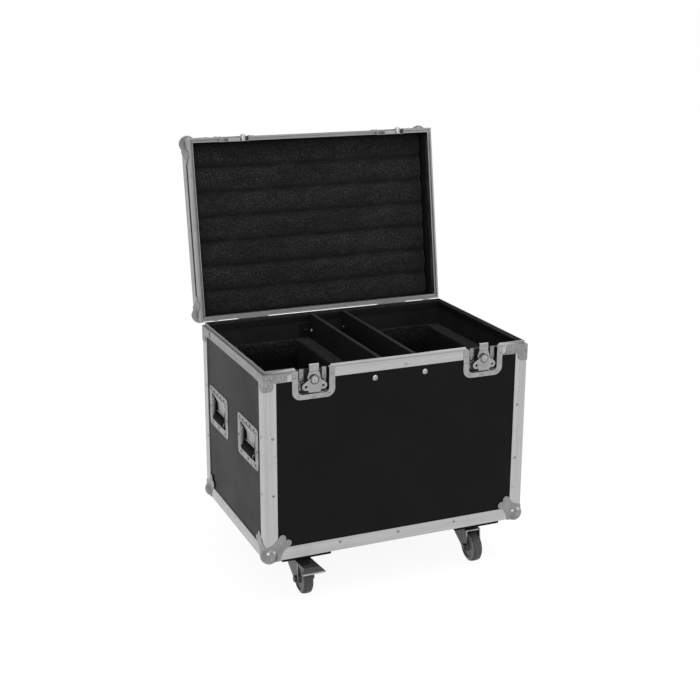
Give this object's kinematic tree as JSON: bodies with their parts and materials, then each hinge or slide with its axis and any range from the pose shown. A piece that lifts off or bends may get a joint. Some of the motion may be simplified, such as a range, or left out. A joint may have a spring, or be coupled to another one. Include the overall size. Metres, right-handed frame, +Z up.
{
  "type": "lighting flight case",
  "caption": "Wheeled trunk with an aluminium-edged lid on stop hinges, recessed butterfly latches, sprung side handles, foam-lined compartments and braked swivel castors.",
  "frame": {"origin": "on the ground under the middle of the trunk", "axes": "+Z up, the front with the latches looks towards -Y, +X to the right seen from the front"},
  "size_m": [0.6778, 0.6268, 1.0087],
  "materials": {
    "black_board": "matt black laminate on plywood",
    "edging": "mill finish extrusion",
    "plated_steel": "zinc plated",
    "black_steel": "black paint",
    "foam": "open-cell foam",
    "grip_rubber": "matt",
    "wheel_rubber": "matt grey",
    "pedal_black": "matt black"
  },
  "bodies": {
    "base": {"panel_front": "black_board", "panel_back": "black_board", "panel_left": "black_board", "panel_right": "black_board", "panel_floor": "black_board", "base_bottom_angles": "edging", "base_corner_angles": "edging", "base_rim": "edging", "base_ball_corners": "plated_steel", "base_corner_braces": "plated_steel", "castor_boards": "black_board", "castor_plates": "plated_steel", "latch_dishes": "plated_steel", "latch_housings": "plated_steel", "handle_dishes": "plated_steel", "hinge_base_leaves": "plated_steel", "hinge_pins": "plated_steel", "divider_left": "black_board", "divider_right": "black_board", "divider_brackets": "black_steel", "divider_bolts": "plated_steel", "foam_blocks": "foam", "foam_wall_liners": "foam", "foam_floor_pads": "foam"},
    "lid": {"lid_top_panel": "black_board", "lid_side_panels": "black_board", "lid_edge_angles": "edging", "lid_rim": "edging", "lid_ball_corners": "plated_steel", "lid_latch_dishes": "plated_steel", "latch_keepers": "plated_steel", "hinge_lid_leaves": "plated_steel", "lid_foam": "foam"},
    "knob_left": {"latch_knob_left": "plated_steel"},
    "wing_left": {"latch_wing_left": "plated_steel"},
    "hook_left": {"latch_hook_left": "plated_steel"},
    "knob_right": {"latch_knob_right": "plated_steel"},
    "wing_right": {"latch_wing_right": "plated_steel"},
    "hook_right": {"latch_hook_right": "plated_steel"},
    "handle_left_front": {"handle_bail_left_front": "plated_steel", "handle_grip_left_front": "grip_rubber"},
    "handle_left_back": {"handle_bail_left_back": "plated_steel", "handle_grip_left_back": "grip_rubber"},
    "handle_right_front": {"handle_bail_right_front": "plated_steel", "handle_grip_right_front": "grip_rubber"},
    "handle_right_back": {"handle_bail_right_back": "plated_steel", "handle_grip_right_back": "grip_rubber"},
    "fork_front_left": {"castor_fork_front_left": "plated_steel"},
    "wheel_front_left": {"castor_wheel_front_left": "wheel_rubber"},
    "fork_front_right": {"castor_fork_front_right": "plated_steel"},
    "wheel_front_right": {"castor_wheel_front_right": "wheel_rubber"},
    "fork_back_right": {"castor_fork_back_right": "plated_steel"},
    "wheel_back_right": {"castor_wheel_back_right": "wheel_rubber"},
    "fork_back_left": {"castor_fork_back_left": "plated_steel"},
    "wheel_back_left": {"castor_wheel_back_left": "wheel_rubber"},
    "pedal_front_left": {"brake_pedal_front_left": "pedal_black"},
    "pedal_back_left": {"brake_pedal_back_left": "pedal_black"}
  },
  "joints": [
    {"name": "lid_hinge", "type": "hinge", "parent": "base", "child": "lid", "pos_m": [0, 0.2316, 0.5566], "axis": [1, 0, 0], "range_deg": [0, 98.8]},
    {"name": "latch_turn_left", "type": "hinge", "parent": "base", "child": "knob_left", "pos_m": [-0.212, -0.225, 0.5363], "axis": [0, -1, 0], "range_deg": [0, 180]},
    {"name": "latch_draw_left", "type": "slide", "parent": "base", "child": "hook_left", "axis": [0, 0.5039, -0.8638], "range_m": [0, 0.00695]},
    {"name": "latch_wing_fold_left", "type": "hinge", "parent": "knob_left", "child": "wing_left", "pos_m": [-0.212, -0.2309, 0.5363], "axis": [-1, 0, 0], "range_deg": [0, 90]},
    {"name": "latch_turn_right", "type": "hinge", "parent": "base", "child": "knob_right", "pos_m": [0.212, -0.225, 0.5363], "axis": [0, -1, 0], "range_deg": [0, 180]},
    {"name": "latch_draw_right", "type": "slide", "parent": "base", "child": "hook_right", "axis": [0, 0.5039, -0.8638], "range_m": [0, 0.00695]},
    {"name": "latch_wing_fold_right", "type": "hinge", "parent": "knob_right", "child": "wing_right", "pos_m": [0.212, -0.2309, 0.5363], "axis": [-1, 0, 0], "range_deg": [0, 90]},
    {"name": "handle_lift_left_front", "type": "hinge", "parent": "base", "child": "handle_left_front", "pos_m": [-0.3245, -0.1105, 0.383], "axis": [0, 1, 0], "range_deg": [0, 90], "stiffness_Nm_per_rad": 0.06, "springref_deg": -22.92},
    {"name": "handle_lift_left_back", "type": "hinge", "parent": "base", "child": "handle_left_back", "pos_m": [-0.3245, 0.1105, 0.383], "axis": [0, 1, 0], "range_deg": [0, 90], "stiffness_Nm_per_rad": 0.06, "springref_deg": -22.92},
    {"name": "handle_lift_right_front", "type": "hinge", "parent": "base", "child": "handle_right_front", "pos_m": [0.3245, -0.1105, 0.383], "axis": [0, -1, 0], "range_deg": [0, 90], "stiffness_Nm_per_rad": 0.06, "springref_deg": -22.92},
    {"name": "handle_lift_right_back", "type": "hinge", "parent": "base", "child": "handle_right_back", "pos_m": [0.3245, 0.1105, 0.383], "axis": [0, -1, 0], "range_deg": [0, 90], "stiffness_Nm_per_rad": 0.06, "springref_deg": -22.92},
    {"name": "castor_swivel_front_left", "type": "hinge", "parent": "base", "child": "fork_front_left", "pos_m": [-0.2226, -0.1454, 0.0907], "axis": [0, 0, 1], "continuous": true},
    {"name": "wheel_spin_front_left", "type": "hinge", "parent": "fork_front_left", "child": "wheel_front_left", "pos_m": [-0.2226, -0.1824, 0.0375], "axis": [1, 0, 0], "continuous": true},
    {"name": "castor_swivel_front_right", "type": "hinge", "parent": "base", "child": "fork_front_right", "pos_m": [0.2226, -0.1454, 0.0907], "axis": [0, 0, 1], "continuous": true},
    {"name": "wheel_spin_front_right", "type": "hinge", "parent": "fork_front_right", "child": "wheel_front_right", "pos_m": [0.2226, -0.1824, 0.0375], "axis": [1, 0, 0], "continuous": true},
    {"name": "castor_swivel_back_right", "type": "hinge", "parent": "base", "child": "fork_back_right", "pos_m": [0.2226, 0.1454, 0.0907], "axis": [0, 0, 1], "continuous": true},
    {"name": "wheel_spin_back_right", "type": "hinge", "parent": "fork_back_right", "child": "wheel_back_right", "pos_m": [0.2226, 0.1084, 0.0375], "axis": [1, 0, 0], "continuous": true},
    {"name": "castor_swivel_back_left", "type": "hinge", "parent": "base", "child": "fork_back_left", "pos_m": [-0.2226, 0.1454, 0.0907], "axis": [0, 0, 1], "continuous": true},
    {"name": "wheel_spin_back_left", "type": "hinge", "parent": "fork_back_left", "child": "wheel_back_left", "pos_m": [-0.2226, 0.1084, 0.0375], "axis": [1, 0, 0], "continuous": true},
    {"name": "brake_press_front_left", "type": "hinge", "parent": "fork_front_left", "child": "pedal_front_left", "pos_m": [-0.2226, -0.1944, 0.0807], "axis": [1, 0, 0], "range_deg": [0, 12]},
    {"name": "brake_press_back_left", "type": "hinge", "parent": "fork_back_left", "child": "pedal_back_left", "pos_m": [-0.2226, 0.0964, 0.0807], "axis": [1, 0, 0], "range_deg": [0, 12]}
  ],
  "couplings": [
    {"joint": "latch_draw_left", "follows": "latch_turn_left", "m_per_rad": 0.00221},
    {"joint": "latch_draw_right", "follows": "latch_turn_right", "m_per_rad": 0.00221}
  ]
}
